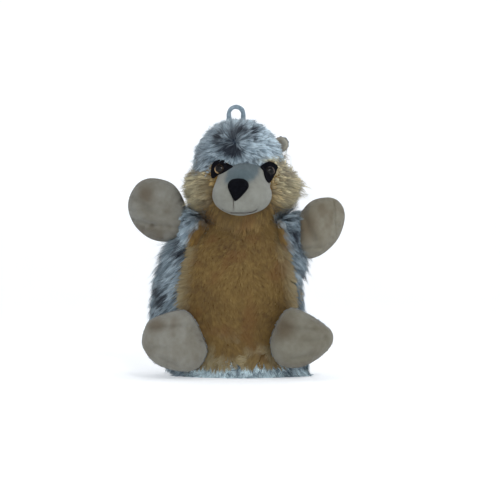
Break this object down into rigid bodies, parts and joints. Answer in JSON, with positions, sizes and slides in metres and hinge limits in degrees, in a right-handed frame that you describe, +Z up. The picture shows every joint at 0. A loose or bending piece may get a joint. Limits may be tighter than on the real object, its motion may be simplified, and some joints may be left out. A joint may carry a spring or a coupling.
{
  "type": "hand puppet",
  "caption": "Hedgehog glove puppet: open-bottomed lined fur body, stuffed head with snout, stuffed paws and feet, and a hanging loop on top.",
  "frame": {"origin": "centre of the hand opening, in the plane of the hem", "axes": "+Z up from the hem through the head, -Y out of the belly and snout, +X to a viewer's right when the puppet faces them"},
  "size_m": [0.2072, 0.11, 0.2569],
  "materials": {
    "blue_grey_fur": "long pile, mottled",
    "tan_fur": "dense pile",
    "cheek_fur": "medium pile",
    "hem_fur": "long pile fringe",
    "beige_velour": "short velour pile",
    "lining_cloth": "plain weave",
    "label_tape": "plain satin tape, blank",
    "fibre_fill": "loose polyester fibre",
    "nose_plastic": "matte",
    "dark_thread": "thread",
    "black_felt": "felt",
    "eye_plastic": "high gloss",
    "washer_plastic": "moulded",
    "loop_tape": "twisted woven tape"
  },
  "bodies": {
    "body": {"back_fur_panel": "blue_grey_fur", "belly_panel": "tan_fur", "body_lining": "lining_cloth", "hem_binding": "hem_fur", "care_label": "label_tape"},
    "neck": {"neck_sleeve": "tan_fur"},
    "head": {"head_stuffing": "fibre_fill", "finger_pocket": "lining_cloth", "forehead_fur": "blue_grey_fur", "head_back_fur": "blue_grey_fur", "cheek_left_fur": "cheek_fur", "cheek_right_fur": "cheek_fur", "muzzle_skin": "beige_velour", "nose": "nose_plastic", "mouth_stitch": "dark_thread", "eye_patch_left": "black_felt", "eye_left": "eye_plastic", "eye_washer_left": "washer_plastic", "eye_patch_right": "black_felt", "eye_right": "eye_plastic", "eye_washer_right": "washer_plastic", "ear_left_front": "beige_velour", "ear_left_back": "blue_grey_fur", "ear_right_front": "beige_velour", "ear_right_back": "blue_grey_fur"},
    "loop": {"hang_loop": "loop_tape"},
    "shoulder_left": {"shoulder_seam_left": "lining_cloth"},
    "arm_left": {"sleeve_left": "blue_grey_fur", "paw_left_palm": "beige_velour", "paw_left_back": "beige_velour", "paw_left_stuffing": "fibre_fill"},
    "foot_left": {"foot_left_sole": "beige_velour", "foot_left_upper": "blue_grey_fur", "foot_left_stuffing": "fibre_fill"},
    "shoulder_right": {"shoulder_seam_right": "lining_cloth"},
    "arm_right": {"sleeve_right": "blue_grey_fur", "paw_right_palm": "beige_velour", "paw_right_back": "beige_velour", "paw_right_stuffing": "fibre_fill"},
    "foot_right": {"foot_right_sole": "beige_velour", "foot_right_upper": "blue_grey_fur", "foot_right_stuffing": "fibre_fill"}
  },
  "joints": [
    {"name": "head_turn", "type": "hinge", "parent": "body", "child": "neck", "pos_m": [0.003, 0.002, 0.166], "axis": [0, 0, 1], "range_deg": [-35, 35], "stiffness_Nm_per_rad": 0.5},
    {"name": "head_nod", "type": "hinge", "parent": "neck", "child": "head", "pos_m": [0.003, 0.002, 0.166], "axis": [1, 0, 0], "range_deg": [-20, 16], "stiffness_Nm_per_rad": 0.5},
    {"name": "arm_left_raise", "type": "hinge", "parent": "body", "child": "shoulder_left", "pos_m": [-0.04, 0, 0.137], "axis": [0, 1, 0], "range_deg": [-15, 12], "stiffness_Nm_per_rad": 0.25},
    {"name": "arm_left_forward", "type": "hinge", "parent": "shoulder_left", "child": "arm_left", "pos_m": [-0.04, 0, 0.137], "axis": [0, 0, 1], "range_deg": [-15, 45], "stiffness_Nm_per_rad": 0.25},
    {"name": "arm_right_raise", "type": "hinge", "parent": "body", "child": "shoulder_right", "pos_m": [0.044, 0, 0.134], "axis": [0, 1, 0], "range_deg": [-25, 20], "stiffness_Nm_per_rad": 0.25},
    {"name": "arm_right_forward", "type": "hinge", "parent": "shoulder_right", "child": "arm_right", "pos_m": [0.044, 0, 0.134], "axis": [0, 0, -1], "range_deg": [-15, 45], "stiffness_Nm_per_rad": 0.25},
    {"name": "foot_left_flop", "type": "hinge", "parent": "body", "child": "foot_left", "pos_m": [-0.062, -0.029, 0.062], "axis": [-1, 0, 0], "range_deg": [0, 40], "stiffness_Nm_per_rad": 0.1},
    {"name": "foot_right_flop", "type": "hinge", "parent": "body", "child": "foot_right", "pos_m": [0.062, -0.029, 0.063], "axis": [-1, 0, 0], "range_deg": [0, 40], "stiffness_Nm_per_rad": 0.1},
    {"name": "loop_swing", "type": "hinge", "parent": "head", "child": "loop", "pos_m": [-0.0015, 0.002, 0.2425], "axis": [1, 0, 0], "range_deg": [-45, 45], "stiffness_Nm_per_rad": 0.02}
  ]
}
